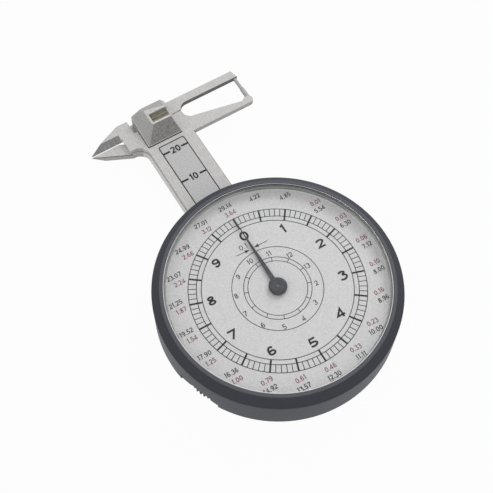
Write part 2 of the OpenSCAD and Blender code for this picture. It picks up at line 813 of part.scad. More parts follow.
module slider_beam() {
    strip_half = strip_w / 2 + seat_gap;
    color([0.83, 0.82, 0.79]) difference() {
        union() {
            slab(plate_z, plate_top) {
                slider_outline();
                box2(-shoulder_x + seat_gap, -slider_tail, shoulder_x - seat_gap, wide_y + lap);
            }
            slab(tongue_z, plate_z)
                box2(-tongue_w / 2, -slider_tail, tongue_w / 2, block_front - slide_gap);
        }
        facet_cut(edge_y, plate_z, edge_y + facet_w, plate_top + thin);
        slab(0, plate_top + past) {
            box2(-slot_half, stud_y, slot_half, stud_y + travel);
            translate([0, stud_y]) circle(r = slot_half);
            translate([0, stud_y + travel]) circle(r = slot_half);
        }
        slab(plate_top - strip_t, plate_top + past)
            box2(-strip_half, strip_start - seat_gap, strip_half, strip_end + seat_gap);
        translate([pin_x, near_edge + near_arm_w - pin_seat, pin_z]) rotate([-90, 0, 0])
            cylinder(r = near_pin_r + seat_gap, h = pin_seat + past);
        for (x = [-rivet_x, rivet_x], y = rivet_ys) rod([x, y], rivet_r + seat_gap, 0, plate_top + past);
    }
}

module scale_strip() {
    color([0.74, 0.74, 0.73]) slab(plate_top - strip_t, plate_top)
        box2(-strip_w / 2, strip_start, strip_w / 2, strip_end);
}

module near_pin() {
    y0 = near_edge + near_arm_w - pin_seat + seat_gap;
    color("gainsboro") translate([pin_x, y0, pin_z]) rotate([-90, 0, 0])
        cylinder(r = near_pin_r, h = pins_y - slide_gap / 2 - y0);
}

module pointer_rack() {
    color("darkgoldenrod") difference() {
        slab(plate_z, plate_top)
            rack_outline(shoulder_x, pointer_pitch_x, pinion_module, 0, -slider_tail, rack_end);
        for (y = rivet_ys) rod([rivet_x, y], rivet_r + seat_gap, 0, plate_top + past);
    }
}

module thumb_rack() {
    color("darkgoldenrod") difference() {
        slab(plate_z, plate_top) mirror([1, 0])
            rack_outline(shoulder_x, thumb_pitch_x, drive_module, idler_c.y + drive_pitch / 2,
                -slider_tail, rack_end);
        for (y = rivet_ys) rod([-rivet_x, y], rivet_r + seat_gap, 0, plate_top + past);
    }
}

module rack_rivets() {
    color("silver") for (x = [-rivet_x, rivet_x], y = rivet_ys) rod([x, y], rivet_r, tongue_z, plate_top);
}

module pinion_arbor() {
    color("silver") rod([pinion_x, 0], arbor_r, gear_z, bridge_top);
}

module rack_pinion() {
    color("goldenrod") gear([pinion_x, 0], rack_pinion_teeth, pinion_module,
        180 - 180 / rack_pinion_teeth, arbor_r + seat_gap, gear_z, gear_t);
}

module transfer_gear() {
    color("goldenrod") gear([pinion_x, 0], transfer_teeth, train_module, 180,
        arbor_r + seat_gap, train_z, transfer_t);
}

module centre_arbor() {
    color("silver") rod([0, 0], arbor_r, main_z, hub_z + hub_h / 2);
}

module centre_pinion() {
    color("goldenrod") gear([0, 0], centre_teeth, train_module, 180 / centre_teeth,
        arbor_r + seat_gap, train_z, transfer_t);
}

module pointer_hub() {
    z1 = hub_z + hub_h;
    bore = arbor_r + seat_gap;
    waist = hub_r - hub_edge;
    dimple_z = z1 - hub_edge / 2;
    color([0.25, 0.25, 0.27]) rotate_extrude() polygon([
        [0, hub_z + hub_h / 2], [bore, hub_z + hub_h / 2], [bore, hub_z], [waist, hub_z],
        [waist, hand_z + hand_t], [hub_r, hand_z + hand_t], [hub_r, z1 - hub_edge], [waist, z1],
        [hub_edge, z1], [hub_edge, dimple_z], [0, dimple_z]
    ]);
}

module pointer_hand() {
    half = hand_w / 2;
    thin_half = hand_end_w / 2;
    color([0.2, 0.2, 0.22]) rotate([0, 0, -dial_turn]) slab(hand_z, hand_z + hand_t - seat_gap) difference() {
        union() {
            circle(r = hub_r);
            polygon([
                [-half, 0], [half, 0], [2 * thin_half, taper_l], [thin_half, taper_l + hand_w],
                [thin_half, pointer_l], [-thin_half, pointer_l], [-thin_half, taper_l + hand_w],
                [-2 * thin_half, taper_l]
            ]);
        }
        circle(r = hub_r - hub_edge + seat_gap);
    }
}

module idler_gear() {
    color("goldenrod") gear(idler_c, idler_teeth, drive_module, 0, axle_r + run_gap, gear_z, gear_t);
}

module thumb_wheel() {
    step = 360 / thumb_ridges;
    foot = ridge_foot * step;
    crest = ridge_crest * step;
    low = thumb_r - ridge_depth;
    function at(r, a) = r * [cos(a), sin(a)];
    color([0.15, 0.15, 0.16]) translate([thumb_c.x, thumb_c.y, thumb_z]) difference() {
        linear_extrude(thumb_t) polygon([
            for (k = [0:thumb_ridges - 1])
                let (a = thumb_angle + k * step)
                    each [
                        at(low, a - foot), at(thumb_r, a - crest), at(thumb_r, a + crest), at(low, a + foot)
                    ]
        ]);
        translate([0, 0, -past]) cylinder(r = axle_r + run_gap, h = thumb_t + 2 * past);
    }
}

module thumb_gear() {
    color("goldenrod") {
        gear(thumb_c, thumb_teeth, drive_module, thumb_turn, axle_r + run_gap, gear_z, gear_t);
        difference() {
            rod(thumb_c, thumb_gear_r - 2 * drive_module, thumb_top, gear_z + gear_t / 2);
            rod(thumb_c, axle_r + run_gap, 0, main_top);
        }
    }
}

case_body();
back_cover();
back_screws();
main_plate();
plate_screws();
dial_spacer();
dial_plate();
crystal();
bezel();
bridge_plate();
bridge_pillars();
bridge_screws();
arbor_bushes();
fixed_beam();
beam_posts();
beam_screws();
stop_stud();
far_head();
head_screws();
socket_spring();
far_pin();
idler_stud();
thumb_axle();
slider_beam();
scale_strip();
near_pin();
pointer_rack();
thumb_rack();
rack_rivets();
pinion_arbor();
rack_pinion();
transfer_gear();
centre_arbor();
centre_pinion();
pointer_hub();
pointer_hand();
idler_gear();
thumb_wheel();
thumb_gear();
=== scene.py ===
"""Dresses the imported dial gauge: materials, rounded copies of the shown solids, printed dial and scale,
floor, light and camera. The frame is in metres. The sizes below are in millimetres, the angles in degrees."""
import json
import math

import bmesh
import bpy
from mathutils import Matrix, Vector

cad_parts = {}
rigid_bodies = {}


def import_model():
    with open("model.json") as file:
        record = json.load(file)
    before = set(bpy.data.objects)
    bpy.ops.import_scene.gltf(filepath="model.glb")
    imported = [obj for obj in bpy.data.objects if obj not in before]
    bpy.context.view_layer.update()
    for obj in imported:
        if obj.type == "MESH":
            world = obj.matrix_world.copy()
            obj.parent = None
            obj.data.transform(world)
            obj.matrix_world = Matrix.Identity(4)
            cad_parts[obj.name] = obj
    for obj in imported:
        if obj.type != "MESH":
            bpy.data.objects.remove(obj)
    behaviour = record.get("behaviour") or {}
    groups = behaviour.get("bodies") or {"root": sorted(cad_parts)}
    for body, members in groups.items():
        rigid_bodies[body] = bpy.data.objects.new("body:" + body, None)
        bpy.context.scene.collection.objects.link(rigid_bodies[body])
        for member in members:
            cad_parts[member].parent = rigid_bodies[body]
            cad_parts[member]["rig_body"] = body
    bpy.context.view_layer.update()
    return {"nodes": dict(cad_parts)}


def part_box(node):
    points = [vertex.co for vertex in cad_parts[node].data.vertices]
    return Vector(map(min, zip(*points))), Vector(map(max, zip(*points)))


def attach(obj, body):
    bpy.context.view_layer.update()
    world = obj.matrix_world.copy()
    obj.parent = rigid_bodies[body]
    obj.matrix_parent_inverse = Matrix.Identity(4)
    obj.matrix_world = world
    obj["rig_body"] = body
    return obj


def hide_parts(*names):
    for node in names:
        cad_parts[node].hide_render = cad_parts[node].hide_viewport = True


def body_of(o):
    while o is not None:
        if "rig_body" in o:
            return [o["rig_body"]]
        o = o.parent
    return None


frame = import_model()
NODES = frame["nodes"]
MM = 0.001

# Material slots of the record, and the nodes that take them
SLOT_NODES = {
    "case_plastic": ["case_body", "back_cover", "dial_spacer"],
    "bezel_black": ["bezel"],
    "clear_crystal": ["crystal"],
    "dial_silver": ["dial_plate"],
    "satin_steel": ["fixed_beam", "far_head", "slider_beam"],
    "scale_grey": ["scale_strip"],
    "pin_steel": [
        "stop_stud", "far_pin", "near_pin", "idler_stud", "thumb_axle", "pinion_arbor", "centre_arbor",
    ],
    "screw_steel": [
        "back_screws", "plate_screws", "bridge_pillars", "bridge_screws", "beam_posts", "beam_screws",
        "head_screws", "rack_rivets",
    ],
    "brass": [
        "main_plate", "bridge_plate", "arbor_bushes", "pointer_rack", "thumb_rack", "rack_pinion",
        "transfer_gear", "centre_pinion", "idler_gear", "thumb_gear",
    ],
    "pointer_grey": ["pointer_hub", "pointer_hand"],
    "thumb_black": ["thumb_wheel"],
    "spring_bronze": ["socket_spring"],
}
SLOT_OF = {node: slot for slot, nodes in SLOT_NODES.items() for node in nodes}

# Sizes repeated from the part's source, and the strip's box from the frame
DIAL_Z = 12.2
DIAL_TURN = 1
PLATE_Z = 6
READING_Y = 31.7
BLADE_ROOT_X = -10.9
LAND_Z = 15.2
CRYSTAL_EDGE_R = 0.25
CRYSTAL_FOOT_R = 26.97
CRYSTAL_WALL_R = 27.72
HEAD_R = 1.5
STRIP_LOW, STRIP_HIGH = (Vector(corner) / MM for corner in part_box("scale_strip"))

# Materials: grain in cycles per millimetre along X, Y and Z, relief height in millimetres
GRAIN_SPAN = (0.3, 0.7)
MOTTLE_SHARE = 0.5
CRYSTAL_LOOK = {
    "Base Color": (0.985, 0.985, 0.985, 1), "Roughness": 0.0, "IOR": 1.49, "Transmission Weight": 1.0,
}
BLUE_SHEEN = {"Specular Tint": (0.9, 0.92, 1, 1)}


def set_inputs(node, values):
    """Gives a shader node's sockets these constant values, by name."""
    for socket, value in values.items():
        node.inputs[socket].default_value = value


def shader_of(made):
    """Shader of a material."""
    return made.node_tree.nodes["Principled BSDF"]


def material(name, values):
    """New material whose shader has these constant values."""
    made = bpy.data.materials.new(name)
    made.use_nodes = True
    set_inputs(shader_of(made), values)
    return made


def grain(made, cycles, detail):
    """Noise over the frame's own axes."""
    nodes = made.node_tree.nodes
    links = made.node_tree.links
    place = nodes.new("ShaderNodeTexCoord")
    scale = nodes.new("ShaderNodeMapping")
    set_inputs(scale, {"Scale": [count / MM for count in cycles]})
    noise = nodes.new("ShaderNodeTexNoise")
    set_inputs(noise, {"Scale": 1, "Detail": detail})
    links.new(place.outputs["Object"], scale.inputs["Vector"])
    links.new(scale.outputs["Vector"], noise.inputs["Vector"])
    return noise.outputs["Fac"]


def blended(made, first, second, share):
    """Factor that takes that share of the second factor and the rest of the first."""
    mix = made.node_tree.nodes.new("ShaderNodeMix")
    set_inputs(mix, {"Factor": share})
    made.node_tree.links.new(first, mix.inputs["A"])
    made.node_tree.links.new(second, mix.inputs["B"])
    return mix.outputs["Result"]


def greater(tree, first, second):
    """Greater of two factors."""
    node = tree.nodes.new("ShaderNodeMath")
    node.operation = "MAXIMUM"
    tree.links.new(first, node.inputs[0])
    tree.links.new(second, node.inputs[1])
    return node.outputs["Value"]


def mixed(tree, factor, first, second, output):
    """Mix of two shaders by a factor, as the surface of a material or world output."""
    mix = tree.nodes.new("ShaderNodeMixShader")
    tree.links.new(factor, mix.inputs["Fac"])
    tree.links.new(first, mix.inputs[1])
    tree.links.new(second, mix.inputs[2])
    tree.links.new(mix.outputs["Shader"], tree.nodes[output].inputs["Surface"])


def tint(made, factor, low, high):
    """Base colour that runs from low to high over the factor's span."""
    ramp = made.node_tree.nodes.new("ShaderNodeValToRGB")
    for element, position, colour in zip(ramp.color_ramp.elements, GRAIN_SPAN, (low, high)):
        element.position = position
        element.color = (*colour, 1)
    made.node_tree.links.new(factor, ramp.inputs["Fac"])
    made.node_tree.links.new(ramp.outputs["Color"], shader_of(made).inputs["Base Color"])


def gloss(made, factor, low, high):
    """Roughness that runs from low to high over the factor's span."""
    spread = made.node_tree.nodes.new("ShaderNodeMapRange")
    set_inputs(spread, {"From Min": GRAIN_SPAN[0], "From Max": GRAIN_SPAN[1], "To Min": low, "To Max": high})
    made.node_tree.links.new(factor, spread.inputs["Value"])
    made.node_tree.links.new(spread.outputs["Result"], shader_of(made).inputs["Roughness"])


def relief(made, factor, height):
    """Surface relief of that height."""
    bump = made.node_tree.nodes.new("ShaderNodeBump")
    set_inputs(bump, {"Distance": height * MM})
    made.node_tree.links.new(factor, bump.inputs["Height"])
    made.node_tree.links.new(bump.outputs["Normal"], shader_of(made).inputs["Normal"])


def surface(name, low, high, rough, cycles, height, metallic=0.0, detail=2, mottle=None, values=None):
    """Material with one grain, or two mixed ones, for its colour, roughness and relief."""
    made = material(name, {"Metallic": metallic, **(values or {})})
    noise = grain(made, cycles, detail)
    if mottle:
        noise = blended(made, noise, grain(made, mottle, detail), MOTTLE_SHARE)
    tint(made, noise, low, high)
    gloss(made, noise, *rough)
    relief(made, noise, height)
    return made


def grey(level, warm=0.0):
    """Grey colour, redder with a positive warm and bluer with a negative one."""
    return (level * (1 + warm), level, level * (1 - warm))


def crystal_material():
    """Clear plastic that lets the light through to the dial."""
    made = material("clear_crystal", CRYSTAL_LOOK)
    tree = made.node_tree
    path = tree.nodes.new("ShaderNodeLightPath")
    passing = greater(tree, path.outputs["Is Shadow Ray"], path.outputs["Is Diffuse Ray"])
    clear = tree.nodes.new("ShaderNodeBsdfTransparent")
    mixed(tree, passing, shader_of(made).outputs["BSDF"], clear.outputs["BSDF"], "Material Output")
    return made


MATERIALS = {
    "case_plastic": surface(
        "case_plastic", (0.053, 0.058, 0.071), (0.065, 0.07, 0.086), rough=(0.4, 0.5), cycles=(5, 5, 5),
        height=0.006, values={**BLUE_SHEEN, "Specular IOR Level": 0.15}),
    "bezel_black": surface(
        "bezel_black", (0.055, 0.057, 0.069), (0.067, 0.069, 0.082), rough=(0.42, 0.5), cycles=(4, 4, 4),
        height=0.004, values={**BLUE_SHEEN, "Specular IOR Level": 0.04}),
    "clear_crystal": crystal_material(),
    "dial_silver": surface(
        "dial_silver", grey(0.59), grey(0.72), rough=(0.55, 0.65), cycles=(3, 3, 3),
        height=0.004, metallic=0.1, detail=3),
    "satin_steel": surface(
        "satin_steel", grey(0.44, 0.015), grey(0.66, 0.015), rough=(0.45, 0.6), cycles=(4, 0.5, 4),
        height=0.008, metallic=0.1, mottle=(3.2, 3.2, 3.2), values={"Specular IOR Level": 0.35}),
    "scale_grey": surface(
        "scale_grey", grey(0.42), grey(0.58), rough=(0.5, 0.65), cycles=(3, 3, 3),
        height=0.004, metallic=0.1, detail=3),
    "pin_steel": surface(
        "pin_steel", grey(0.36), grey(0.5), rough=(0.35, 0.48), cycles=(9, 1, 9),
        height=0.003, metallic=0.1, values={"Specular IOR Level": 0.25}),
    "screw_steel": surface(
        "screw_steel", grey(0.5), grey(0.6), rough=(0.28, 0.4), cycles=(8, 8, 8),
        height=0.004, metallic=0.9),
    "brass": surface(
        "brass", (0.58, 0.42, 0.16), (0.72, 0.55, 0.24), rough=(0.28, 0.42), cycles=(5, 5, 5),
        height=0.004, metallic=1.0),
    "pointer_grey": surface(
        "pointer_grey", (0.045, 0.045, 0.051), (0.058, 0.058, 0.066), rough=(0.4, 0.5), cycles=(8, 8, 8),
        height=0.003, values=BLUE_SHEEN),
    "thumb_black": surface(
        "thumb_black", grey(0.012), grey(0.02), rough=(0.45, 0.58), cycles=(6, 6, 6), height=0.006),
    "spring_bronze": surface(
        "spring_bronze", (0.17, 0.16, 0.125), (0.33, 0.31, 0.24), rough=(0.4, 0.55), cycles=(1, 9, 9),
        height=0.01, metallic=0.5),
}

# Finishes of some faces of a node, most of them painted light and shade, and inks
# Rough cast for the block's near face, darker than the steel partly as painted shade
CAST_AND_SHADE = surface(
    "cast_steel_and_shade", grey(0.16, 0.015), grey(0.36, 0.015), rough=(0.5, 0.7), cycles=(2.5, 2.5, 2.5),
    height=0.08, metallic=0.1, detail=4)
# Painted shade for the block's left and far faces
BLOCK_SHADE = surface(
    "block_painted_shade", grey(0.33, 0.01), grey(0.44, 0.01), rough=(0.45, 0.6), cycles=(3, 3, 3),
    height=0.006, metallic=0.1)
# Painted light for the near walls of the slider's arm
ARM_WALL_PAINTED_LIGHT = surface(
    "arm_wall_painted_light", grey(0.5), grey(0.62), rough=(0.45, 0.6), cycles=(3, 3, 3), height=0.004, metallic=0.1)
# Painted shade for the near walls below the block, the bar's right edge, the blade's near edge and screw
# slots
PAINTED_SHADE = surface(
    "painted_shade", grey(0.1), grey(0.18), rough=(0.45, 0.6), cycles=(3, 3, 0.5), height=0.004, metallic=0.1)
# Painted light: a lighter, glossier copy of the bezel for its land, which faces up
LAND_PAINTED_LIGHT = surface(
    "bezel_land", (0.086, 0.089, 0.102), (0.104, 0.108, 0.122), rough=(0.38, 0.46), cycles=(4, 4, 4),
    height=0.004, values={**BLUE_SHEEN, "Specular IOR Level": 0.3})
# Painted glint for the crystal's top edge and for a strip at its foot
CRYSTAL_GLINT = surface(
    "crystal_painted_glint", grey(0.8), grey(0.88), rough=(0.35, 0.45), cycles=(6, 6, 6), height=0.004)
# Painted reflection on the crystal's outer wall, and painted shade on that wall above it
WALL_REFLECTION = surface("crystal_wall_painted_reflection", grey(0.44), grey(0.54), rough=(0.5, 0.6), cycles=(3, 3, 3), height=0.004)
WALL_SHADE = surface("crystal_wall_painted_shade", grey(0.03), grey(0.05), rough=(0.5, 0.6), cycles=(6, 6, 6), height=0.004)
# Painted highlight for rounded edges, and painted light for walls that face left
PAINTED_HIGHLIGHT = surface(
    "painted_highlight", grey(0.62, 0.01), grey(0.8, 0.01), rough=(0.3, 0.45), cycles=(2, 2, 2),
    height=0.004, metallic=0.25)
# Ground facet of the slider's blade, darker than the steel partly as painted shade
GROUND_AND_SHADE = surface(
    "ground_steel_and_shade", grey(0.2), grey(0.34), rough=(0.3, 0.45), cycles=(3.2, 0.3, 0.3),
    height=0.02, metallic=0.6, detail=1)
DIMPLE = surface("hub_dimple", grey(0.12), grey(0.16), rough=(0.3, 0.4), cycles=(8, 8, 8), height=0.003)
BLACK_INK = surface("black_ink", grey(0.008), grey(0.014), rough=(0.6, 0.7), cycles=(5, 5, 5), height=0.002)
GREY_INK = surface("grey_ink", grey(0.018), grey(0.03), rough=(0.5, 0.6), cycles=(5, 5, 5), height=0.002)
RED_INK = surface(
    "red_ink", (0.22, 0.07, 0.1), (0.28, 0.095, 0.13), rough=(0.5, 0.6), cycles=(5, 5, 5), height=0.002)

for slot, nodes in SLOT_NODES.items():
    for node in nodes:
        NODES[node].data.materials.clear()
        NODES[node].data.materials.append(MATERIALS[slot])

# Rounded copies of the shown solids: angles and slacks
FLAT_ANGLE = math.radians(1)
SMOOTH_ANGLE = math.radians(35)
SHARP = 25
BEZEL_SHARP = 12
WELD = 0.001
CUT_SLACK = 0.0001
FOOT_SLACK = 0.1
EDGE_STEPS = 2
BLOCK_EDGE_STEPS = 4

# Forms of the copies that the solids lack
BLOCK_EDGE = 0.45
FAR_PIN_SHARE = 1.55
NEAR_PIN_SHARE = 1.2
HAND_ROOT = 1.9
HAND_SHARE = 0.92
SLOT_L = 2.4
SLOT_W = 0.4
SLOT_DEPTH = 0.3

# Where a finish starts or ends
ARM_X = 11.5
HIGHLIGHT_Z = 6.3
FOOT_H = 0.8
WALL_SHADE_Z = 13.7
HUB_DIMPLE_R = 0.4

# Share of a direction in a face's normal, above which the face counts as turned that way
TILTED = 0.1
LEANS = 0.2
TURNS = 0.5
FACES = 0.7
STRAIGHT = 0.97
BLOCK_LEFT = 0.3
BLOCK_FAR = 0.15
LAND_UP = 0.8
SLOT_DOWN = 0.9


def add_piece(name, mesh, materials, body):
    """Object of a mesh in the frame, riding a body, with these materials."""
    piece = bpy.data.objects.new(name, mesh)
    bpy.context.scene.collection.objects.link(piece)
    for made in materials:
        mesh.materials.append(made)
    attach(piece, body)
    return piece


def join_flat(bm):
    """Joins the flat faces of a mesh."""
    bmesh.ops.remove_doubles(bm, verts=bm.verts[:], dist=WELD * MM)
    bmesh.ops.dissolve_limit(bm, angle_limit=FLAT_ANGLE, verts=bm.verts[:], edges=bm.edges[:])


def bevel(bm, edges, width, steps):
    """Rounds edges and gives the new faces."""
    made = bmesh.ops.bevel(
        bm, geom=edges, offset=width * MM, offset_type="OFFSET", segments=steps, profile=0.5,
        affect="EDGES", clamp_overlap=False, harden_normals=False)
    return made["faces"]


def round_edges(bm, width, sharp):
    """Rounds the edges where faces meet at more than the sharp angle, and gives the new faces."""
    edges = [
        edge for edge in bm.edges
        if len(edge.link_faces) == 2 and edge.calc_face_angle() > math.radians(sharp)
    ]
    return bevel(bm, edges, width, EDGE_STEPS)


def straighten_wall(bm):
    """Upright inner wall for the crystal, in place of the slanting one, and a cut round it at the height
    where the painted shade on its outer wall starts.
    """
    bmesh.ops.bisect_plane(
        bm, geom=[*bm.faces, *bm.edges, *bm.verts], plane_co=(0, 0, WALL_SHADE_Z * MM), plane_no=(0, 0, 1))
    for vert in bm.verts:
        r = math.hypot(vert.co.x, vert.co.y) / MM
        if abs(r - CRYSTAL_FOOT_R) < FOOT_SLACK:
            vert.co.xy *= CRYSTAL_WALL_R / r


def slim_hand(bm):
    """Narrower hand outside its ring."""
    a = math.radians(90 - DIAL_TURN)
    along = Vector((math.cos(a), math.sin(a)))
    for vert in bm.verts:
        reach = vert.co.xy.dot(along)
        if reach > HAND_ROOT * MM:
            vert.co.xy = along * reach + (vert.co.xy - along * reach) * HAND_SHARE


def thicker(node, share):
    """Change that scales a pin about its axis, which runs along Y."""
    middle = sum((Vector(corner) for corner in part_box(node)), Vector()) / 2

    def change(bm):
        for vert in bm.verts:
            vert.co.x = middle.x + (vert.co.x - middle.x) * share
            vert.co.z = middle.z + (vert.co.z - middle.z) * share

    return change


def soften_block(bm):
    """Wide rounding of the upright edge between the block's left and near faces."""
    edges = [
        edge for edge in bm.edges
        if min(vert.co.z for vert in edge.verts) > PLATE_Z * MM
        and any(face.normal.x < -TURNS for face in edge.link_faces)
        and any(face.normal.y < -TURNS for face in edge.link_faces)
    ]
    bevel(bm, edges, BLOCK_EDGE, BLOCK_EDGE_STEPS)


def slot_cell(bm, head, centre):
    """Middle of a screw's flat head, cut out along the sides of its slot."""
    cells = [head]
    for axis, half in ((Vector((1, 0, 0)), SLOT_L / 2), (Vector((0, 1, 0)), SLOT_W / 2)):
        for side in (-1, 1):
            parts = dict.fromkeys(part for cell in cells for part in (cell, *cell.edges, *cell.verts))
            cut = bmesh.ops.bisect_plane(
                bm, geom=list(parts), dist=CUT_SLACK * MM, plane_co=centre + axis * side * half * MM,
                plane_no=axis)
            cells = [part for part in cut["geom"] if isinstance(part, bmesh.types.BMFace)]
    return min(cells, key=lambda cell: (cell.calc_center_bounds() - centre).length)


def cut_slot(bm, head):
    """Blind screwdriver slot across a screw's flat head."""
    inward = -head.normal
    cell = slot_cell(bm, head, head.calc_center_bounds())
    pocket = bmesh.ops.extrude_face_region(bm, geom=[cell])["geom"]
    floor = [part for part in pocket if isinstance(part, bmesh.types.BMVert)]
    bmesh.ops.translate(bm, verts=floor, vec=inward * SLOT_DEPTH * MM)
    bmesh.ops.delete(bm, geom=[cell], context="FACES_ONLY")


def cut_slots(bm):
    """Slots in the heads that face the back."""
    least = (HEAD_R * MM) ** 2
    heads = [face for face in bm.faces if face.normal.z < -STRAIGHT and face.calc_area() > least]
    for head in heads:
        cut_slot(bm, head)
    bmesh.ops.recalc_face_normals(bm, faces=bm.faces[:])


def worn(face):
    """Whether a rounded edge takes the painted highlight: those that face left, and the block's near ones."""
    if face.calc_center_median().z > HIGHLIGHT_Z * MM and face.normal.y < -LEANS:
        return True
    return face.normal.x < -LEANS and face.normal.x < -abs(face.normal.y)


def dressed(node, rounding, sharp=SHARP, finishes=(), pick=None, change=None, edge=None):
    """Copy of a node with rounded edges, which stands for it.

    pick gives a face's finish by its place and normal, or None, and edge is the finish of the painted
    highlight on some rounded edges."""
    slot = SLOT_OF[node]
    skins = [MATERIALS[slot], *finishes]
    mesh = NODES[node].data.copy()
    mesh.materials.clear()
    bm = bmesh.new()
    bm.from_mesh(mesh)
    join_flat(bm)
    if change:
        change(bm)
    rounded = set(round_edges(bm, rounding, sharp)) if rounding else set()
    for face in bm.faces:
        face.smooth = True
        skin = pick(face.calc_center_median() / MM, face.normal) if pick else None
        # Painted highlight on the rounded edges that face left and on the block's near ones
        if edge is not None and face in rounded and worn(face):
            skin = edge
        face.material_index = 0 if skin is None else skins.index(skin)
    bm.to_mesh(mesh)
    bm.free()
    mesh.set_sharp_from_angle(angle=SMOOTH_ANGLE)
    piece = add_piece(node + "_shape", mesh, skins, body_of(NODES[node])[0])
    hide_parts(node)
    normals = piece.modifiers.new("flat_faces", "WEIGHTED_NORMAL")
    normals.keep_sharp = True
    return piece


def bezel_finish(at, normal):
    """Land round the crystal, lighter and glossier as painted light where it faces up."""
    return LAND_PAINTED_LIGHT if normal.z > LAND_UP and at.z > DIAL_Z else None


def crystal_finish(at, normal):
    """Painted glint on the crystal's top edge and on a strip at its foot, and on its outer wall a painted
    reflection, with painted shade above it.
    """
    if at.z > LAND_Z - CRYSTAL_EDGE_R and LEANS < normal.z < STRAIGHT:
        return CRYSTAL_GLINT
    if abs(normal.z) > TILTED:
        return None
    if normal.x * at.x + normal.y * at.y < 0:
        return CRYSTAL_GLINT if at.z < DIAL_Z + FOOT_H else None
    return WALL_SHADE if at.z > WALL_SHADE_Z else WALL_REFLECTION


def beam_finish(at, normal):
    """Painted shade on the blade's near edge, and painted light on the left walls."""
    if at.x < BLADE_ROOT_X and normal.y < -LEANS and LEANS < normal.z < STRAIGHT:
        return PAINTED_SHADE
    return PAINTED_HIGHLIGHT if normal.x < -FACES else None


def slider_finish(at, normal):
    """Ground facet of the blade, darkened partly as painted shade, painted shade on the bar's right edge, and
    painted light on the near walls and the left walls.
    """
    if at.x < BLADE_ROOT_X and abs(normal.y) > LEANS and LEANS < normal.z < STRAIGHT:
        return GROUND_AND_SHADE
    if 0 < at.x < ARM_X and LEANS < normal.x < STRAIGHT and normal.z > LEANS:
        return PAINTED_SHADE
    if at.x > ARM_X and normal.y < -TURNS:
        return ARM_WALL_PAINTED_LIGHT
    return PAINTED_HIGHLIGHT if normal.x < -FACES else None


def head_finish(at, normal):
    """Painted shade on the near walls below the block, rough cast on its near face, darkened partly as
    painted shade, and painted shade on its left and far faces.
    """
    if at.z < PLATE_Z:
        return PAINTED_SHADE if normal.y < -TURNS else None
    if normal.y < -FACES and normal.z > LEANS:
        return CAST_AND_SHADE
    return BLOCK_SHADE if normal.x < -BLOCK_LEFT or normal.y > BLOCK_FAR else None


def hub_finish(at, normal):
    """Lighter dimple in the hub."""
    return DIMPLE if math.hypot(at.x, at.y) < HUB_DIMPLE_R else None


def slot_finish(node):
    """Finish of a node's screws, with painted shade on the floors of their slots."""
    floor_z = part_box(node)[0][2] / MM + SLOT_DEPTH

    def pick(at, normal):
        return PAINTED_SHADE if normal.z < -SLOT_DOWN and abs(at.z - floor_z) < SLOT_DEPTH / 2 else None

    return pick


dressed("case_body", rounding=0.15)
dressed("back_cover", rounding=0.15)
dressed("bezel", rounding=0.12, sharp=BEZEL_SHARP, finishes=[LAND_PAINTED_LIGHT], pick=bezel_finish)
dressed(
    "crystal", rounding=0, finishes=[CRYSTAL_GLINT, WALL_REFLECTION, WALL_SHADE], pick=crystal_finish,
    change=straighten_wall)
dressed(
    "fixed_beam", rounding=0.15, finishes=[PAINTED_HIGHLIGHT, PAINTED_SHADE], pick=beam_finish, edge=PAINTED_HIGHLIGHT)
dressed(
    "slider_beam", rounding=0.15, finishes=[GROUND_AND_SHADE, PAINTED_HIGHLIGHT, ARM_WALL_PAINTED_LIGHT, PAINTED_SHADE], pick=slider_finish,
    edge=PAINTED_HIGHLIGHT)
dressed(
    "far_head", rounding=0.12, finishes=[CAST_AND_SHADE, PAINTED_HIGHLIGHT, PAINTED_SHADE, BLOCK_SHADE], pick=head_finish,
    change=soften_block, edge=PAINTED_HIGHLIGHT)
dressed("far_pin", rounding=0.06, change=thicker("far_pin", FAR_PIN_SHARE))
dressed("near_pin", rounding=0.06, change=thicker("near_pin", NEAR_PIN_SHARE))
dressed("thumb_wheel", rounding=0.08)
dressed("pointer_hand", rounding=0.04, change=slim_hand)
dressed("pointer_hub", rounding=0.06, finishes=[DIMPLE], pick=hub_finish)
for screws in ("back_screws", "head_screws"):
    dressed(screws, rounding=0.04, finishes=[PAINTED_SHADE], pick=slot_finish(screws), change=cut_slots)

# Printed marks
INK_LIFT = 0.015
LEAST_MITRE = 0.4
CLOSED_GAP = 1e-6
ARC_STEPS = 14
RING_STEPS = 24
ZERO_STEPS = 28
CIRCLE_STEPS = 180


def band(bm, points, width, place, closed=False):
    """Flat band of that width along the points, which place puts in the frame."""
    count = len(points)
    sides = []
    for index, point in enumerate(points):
        back = points[index - 1] if closed or index > 0 else point
        ahead = points[(index + 1) % count] if closed or index < count - 1 else point
        before = (point - back).normalized() if back != point else (ahead - point).normalized()
        after = (ahead - point).normalized() if ahead != point else before
        mean = (before + after).normalized()
        reach = width / 2 / max(LEAST_MITRE, mean.dot(after))
        out = Vector((-mean.y, mean.x)) * reach
        sides.append((bm.verts.new(place(point - out)), bm.verts.new(place(point + out))))
    following = sides[1:] + sides[:1] if closed else sides[1:]
    for (right, left), (next_right, next_left) in zip(sides, following):
        bm.faces.new((right, next_right, next_left, left))


def arc(centre, rx, ry, start, end, steps=ARC_STEPS):
    """Points along an ellipse between two angles."""
    angles = [math.radians(start + (end - start) * k / steps) for k in range(steps + 1)]
    return [Vector((centre[0] + rx * math.cos(a), centre[1] + ry * math.sin(a))) for a in angles]


def line(*points):
    """Points of a line with corners."""
    return [Vector(point) for point in points]


